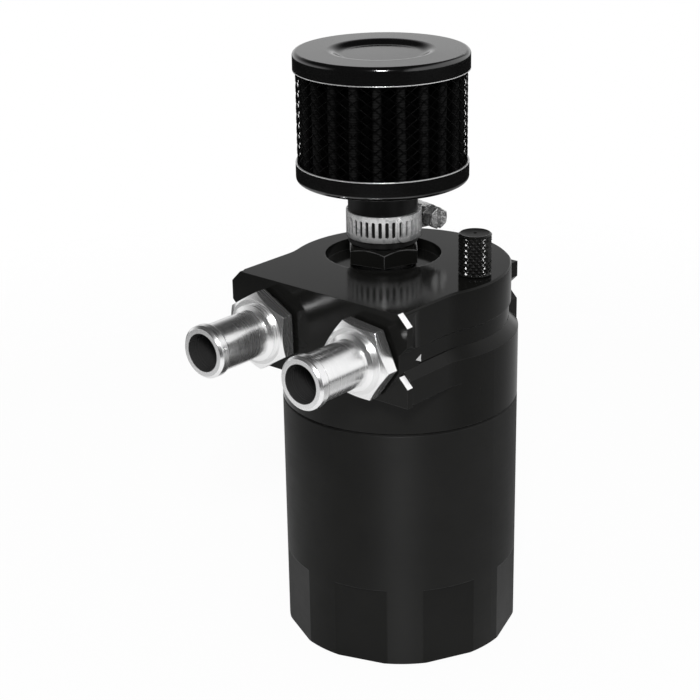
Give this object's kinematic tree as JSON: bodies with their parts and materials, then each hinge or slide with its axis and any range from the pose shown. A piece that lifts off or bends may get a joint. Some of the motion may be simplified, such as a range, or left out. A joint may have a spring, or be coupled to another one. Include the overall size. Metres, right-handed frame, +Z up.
{
  "type": "oil catch can",
  "caption": "Round screw-together oil catch can with a billet head, side hose fittings, a clamped breather filter on top and a knurled dipstick.",
  "frame": {"origin": "centre of the cup's foot, on the surface that it stands on", "axes": "+Z up along the can's axis, -Y out through the hose fittings"},
  "size_m": [0.076, 0.107, 0.1902],
  "materials": {
    "black_anodised": "gloss black anodised",
    "bare_aluminium": "bright turned",
    "clamp_steel": "bright zinc plated",
    "rubber": "satin",
    "black_cap": "gloss black with bright cut edges",
    "black_mesh": "black coated wire",
    "filter_paper": "pleated, matte"
  },
  "bodies": {
    "cup": {"cup": "black_anodised"},
    "head": {"head": "black_anodised", "cup_o_ring": "rubber", "baffle_plate": "bare_aluminium", "inlet_fitting": "bare_aluminium", "outlet_fitting": "bare_aluminium", "inlet_o_ring": "rubber", "outlet_o_ring": "rubber", "breather_adapter": "black_anodised", "breather_o_ring": "rubber"},
    "dipstick": {"dipstick_knob": "black_anodised", "dipstick_o_ring": "rubber", "dipstick_rod": "clamp_steel"},
    "filter": {"filter_neck": "rubber", "filter_base_cap": "black_cap", "filter_top_cap": "black_cap", "filter_media": "filter_paper", "filter_mesh": "black_mesh", "clamp_band": "clamp_steel", "clamp_housing": "clamp_steel"},
    "clamp_screw": {"clamp_screw": "clamp_steel"}
  },
  "joints": [
    {"name": "head_lift", "type": "slide", "parent": "cup", "child": "head", "axis": [0, 0, 1], "range_m": [0, 0.09]},
    {"name": "dipstick_pull", "type": "slide", "parent": "head", "child": "dipstick", "axis": [0, 0, 1], "range_m": [0, 0.12]},
    {"name": "filter_pull", "type": "slide", "parent": "head", "child": "filter", "axis": [0, 0, 1], "range_m": [0, 0.03]},
    {"name": "clamp_screw_turn", "type": "hinge", "parent": "filter", "child": "clamp_screw", "pos_m": [-0.00618, 0.01807, 0.1351], "axis": [0.9781, -0.2079, 0], "continuous": true}
  ]
}
